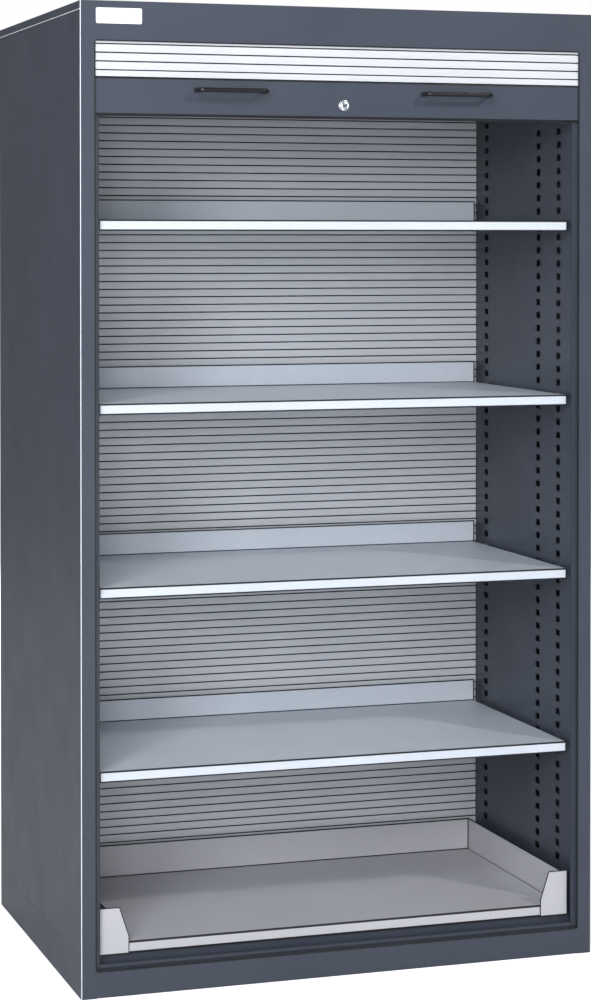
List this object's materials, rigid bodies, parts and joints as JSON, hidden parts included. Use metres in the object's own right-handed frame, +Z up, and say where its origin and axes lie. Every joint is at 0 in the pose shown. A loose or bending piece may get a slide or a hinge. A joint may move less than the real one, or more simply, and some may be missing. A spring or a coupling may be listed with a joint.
{
  "type": "roll front tool cabinet",
  "caption": "Tall sheet steel cabinet with a slatted roll-up shutter that runs over the top, adjustable shelves and a pull-out tray.",
  "frame": {"origin": "middle of the base on the floor, half way across the width and half way through the housing's depth", "axes": "+Z up, the open front faces -Y, +X to the right as seen from the front"},
  "size_m": [1.023, 0.7531, 1.836],
  "materials": {
    "dark_paint": "satin powder coat",
    "light_paint": "satin powder coat",
    "tray_paint": "satin powder coat",
    "slat_plastic": "silver grey, satin",
    "runner_steel": "bright zinc",
    "handle_black": "black, satin",
    "lock_chrome": "polished",
    "seal_rubber": "matt",
    "label_white": "gloss",
    "screw_steel": "zinc"
  },
  "bodies": {
    "carcass": {"back_panel": "dark_paint", "back_screws": "screw_steel", "base_rear": "dark_paint", "base_side_left": "dark_paint", "base_side_right": "dark_paint", "curtain_front_bend": "slat_plastic", "curtain_rear_bend": "slat_plastic", "curtain_rear_run": "slat_plastic", "curtain_top_run": "slat_plastic", "feed_slat": "slat_plastic", "floor_plate": "dark_paint", "front_bend_left": "dark_paint", "front_bend_right": "dark_paint", "front_guide_left": "dark_paint", "front_guide_right": "dark_paint", "front_stile_left": "dark_paint", "front_stile_right": "dark_paint", "header_panel": "dark_paint", "label_plate": "label_white", "rear_bend_left": "dark_paint", "rear_bend_right": "dark_paint", "rear_guide_left": "dark_paint", "rear_guide_right": "dark_paint", "runner_outer_left": "runner_steel", "runner_outer_right": "runner_steel", "runner_spacers_left": "runner_steel", "runner_spacers_right": "runner_steel", "shelf_clips_left": "runner_steel", "shelf_clips_right": "runner_steel", "side_panel_left": "dark_paint", "side_panel_right": "dark_paint", "sill_guide": "dark_paint", "sill_panel": "dark_paint", "slotted_liner_left": "dark_paint", "slotted_liner_right": "dark_paint", "top_cover": "dark_paint", "top_guide_left": "dark_paint", "top_guide_right": "dark_paint"},
    "shutter": {"lead_slats": "slat_plastic", "shutter_bar": "dark_paint", "bottom_seal": "seal_rubber", "handle_left": "handle_black", "handle_right": "handle_black", "handle_screws": "screw_steel", "lock_body": "lock_chrome", "lock_nut": "lock_chrome"},
    "lock": {"lock_plug": "lock_chrome", "lock_cam": "runner_steel"},
    "curtain_end": {"curtain_tail": "slat_plastic"},
    "tray": {"tray_pan": "tray_paint", "tray_corner_left": "tray_paint", "tray_corner_right": "tray_paint", "runner_inner_left": "runner_steel", "runner_inner_right": "runner_steel"},
    "runner_left": {"runner_middle_left": "runner_steel"},
    "runner_right": {"runner_middle_right": "runner_steel"},
    "shelf_one": {"shelf_1": "light_paint"},
    "shelf_two": {"shelf_2": "light_paint"},
    "shelf_three": {"shelf_3": "light_paint"},
    "shelf_four": {"shelf_4": "light_paint"}
  },
  "joints": [
    {"name": "shutter_slide", "type": "slide", "parent": "carcass", "child": "shutter", "axis": [0, 0, 1], "range_m": [-1.5743, 0], "deforming": ["feed_slat"]},
    {"name": "lock_turn", "type": "hinge", "parent": "shutter", "child": "lock", "pos_m": [0, -0.3596, 1.6516], "axis": [0, -1, 0], "range_deg": [-90, 0]},
    {"name": "tail_slide", "type": "slide", "parent": "carcass", "child": "curtain_end", "axis": [0, 0, 1], "range_m": [0, 1.5743], "deforming": ["curtain_rear_run"]},
    {"name": "tray_slide", "type": "slide", "parent": "carcass", "child": "tray", "axis": [0, -1, 0], "range_m": [0, 0.44]},
    {"name": "runner_left_slide", "type": "slide", "parent": "carcass", "child": "runner_left", "axis": [0, -1, 0], "range_m": [0, 0.22]},
    {"name": "runner_right_slide", "type": "slide", "parent": "carcass", "child": "runner_right", "axis": [0, -1, 0], "range_m": [0, 0.22]},
    {"name": "shelf_one_lift", "type": "slide", "parent": "carcass", "child": "shelf_one", "axis": [0, 0, 1], "range_m": [0, 0.02]},
    {"name": "shelf_two_lift", "type": "slide", "parent": "carcass", "child": "shelf_two", "axis": [0, 0, 1], "range_m": [0, 0.02]},
    {"name": "shelf_three_lift", "type": "slide", "parent": "carcass", "child": "shelf_three", "axis": [0, 0, 1], "range_m": [0, 0.02]},
    {"name": "shelf_four_lift", "type": "slide", "parent": "carcass", "child": "shelf_four", "axis": [0, 0, 1], "range_m": [0, 0.02]}
  ],
  "couplings": [
    {"joint": "tail_slide", "follows": "shutter_slide", "ratio": -1},
    {"joint": "runner_left_slide", "follows": "tray_slide", "ratio": 0.5},
    {"joint": "runner_right_slide", "follows": "tray_slide", "ratio": 0.5}
  ]
}
